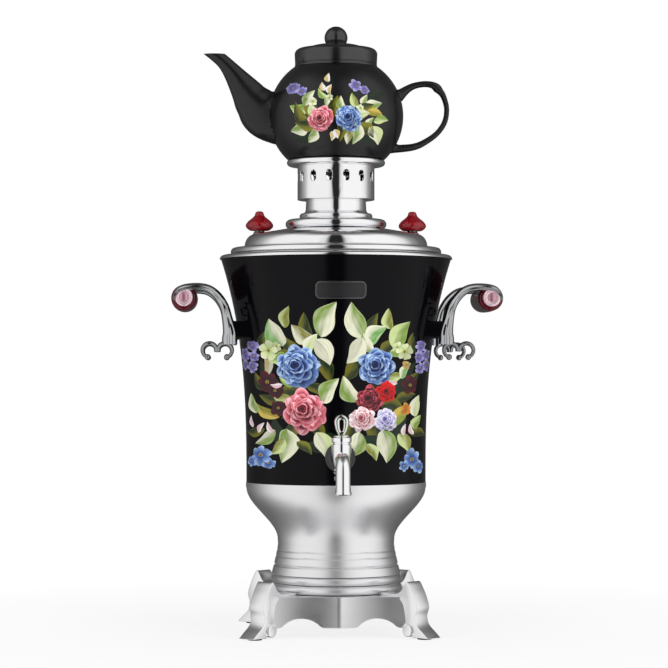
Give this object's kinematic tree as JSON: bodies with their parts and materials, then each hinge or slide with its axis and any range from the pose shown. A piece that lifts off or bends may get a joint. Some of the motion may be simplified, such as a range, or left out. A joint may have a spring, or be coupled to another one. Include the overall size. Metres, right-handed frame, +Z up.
{
  "type": "electric samovar with teapot",
  "caption": "Tall electric samovar: black flared vessel on a steel pedestal, front tap, side handles, lid with a pierced crown, and a ceramic teapot on top.",
  "frame": {"origin": "where the vessel's axis meets the floor, level with the foot pads' undersides", "axes": "+Z up along the vessel's axis; the tap is towards -Y, the mains inlet towards +Y, and the side handles on +X and -X; the teapot's spout is towards -X"},
  "size_m": [0.312, 0.2584, 0.574],
  "materials": {
    "rubber": "matt",
    "satin_steel": "satin brushed",
    "screw_steel": "plain",
    "tank_steel": "satin",
    "black_enamel": "gloss, with painted flowers",
    "polished_chrome": "mirror polished",
    "silicone": "matt",
    "brass": "plain",
    "control_plastic": "matt",
    "housing_plastic": "fine texture",
    "wire_insulation": "matt",
    "rocker_plastic": "gloss",
    "red_plastic": "gloss, translucent",
    "black_glaze": "gloss glaze, with painted flowers"
  },
  "bodies": {
    "root": {"foot_pads": "rubber", "base_plinth": "satin_steel", "bottom_cover": "satin_steel", "bottom_cover_screws": "screw_steel", "base_ring": "satin_steel", "pedestal": "satin_steel", "tie_rod": "screw_steel", "tie_rod_nuts": "screw_steel", "water_tank": "tank_steel", "body_shell": "black_enamel", "rim_ring": "polished_chrome", "heating_element": "tank_steel", "heater_gaskets": "silicone", "heater_nuts": "brass", "thermostat": "control_plastic", "thermal_fuse": "control_plastic", "sensor_straps": "screw_steel", "strap_screws": "screw_steel", "earth_tag": "brass", "power_housing": "housing_plastic", "inlet_pins": "brass", "housing_screws": "screw_steel", "wiring": "wire_insulation", "badge_plate": "satin_steel", "badge_studs": "satin_steel", "handle_arms_left": "polished_chrome", "handle_arms_right": "polished_chrome", "handle_screws_left": "screw_steel", "handle_screws_right": "screw_steel", "grip_left": "red_plastic", "grip_right": "red_plastic", "grip_rod_left": "screw_steel", "grip_rod_right": "screw_steel", "grip_end_nuts": "polished_chrome", "tap_body": "polished_chrome", "tap_rosette": "polished_chrome", "tap_gaskets": "silicone", "tap_nut": "brass"},
    "tap_key": {"tap_key": "polished_chrome", "tap_key_washer": "screw_steel", "tap_key_spring": "screw_steel", "tap_key_nut": "screw_steel"},
    "rocker": {"switch_rocker": "rocker_plastic"},
    "lid": {"lid_dome": "polished_chrome", "lid_neck": "polished_chrome", "lid_knobs": "red_plastic", "lid_knob_ferrules": "polished_chrome", "lid_knob_screws": "screw_steel"},
    "crown": {"crown_drum": "polished_chrome", "crown_flange": "polished_chrome"},
    "teapot": {"teapot_body": "black_glaze", "teapot_spout": "black_glaze", "teapot_handle": "black_glaze"},
    "teapot_lid": {"teapot_lid": "black_glaze"}
  },
  "joints": [
    {"name": "tap_turn", "type": "hinge", "parent": "root", "child": "tap_key", "pos_m": [0, -0.11, 0.167], "axis": [0, 0, 1], "range_deg": [0, 90]},
    {"name": "switch_rock", "type": "hinge", "parent": "root", "child": "rocker", "pos_m": [0, 0.065, 0.0955], "axis": [1, 0, 0], "range_deg": [0, 20]},
    {"name": "lid_lift", "type": "slide", "parent": "root", "child": "lid", "axis": [0, 0, 1], "range_m": [0, 0.1]},
    {"name": "crown_lift", "type": "slide", "parent": "lid", "child": "crown", "axis": [0, 0, 1], "range_m": [0, 0.06]},
    {"name": "teapot_lift", "type": "slide", "parent": "crown", "child": "teapot", "axis": [0, 0, 1], "range_m": [0, 0.1]},
    {"name": "teapot_lid_lift", "type": "slide", "parent": "teapot", "child": "teapot_lid", "axis": [0, 0, 1], "range_m": [0, 0.06]}
  ]
}
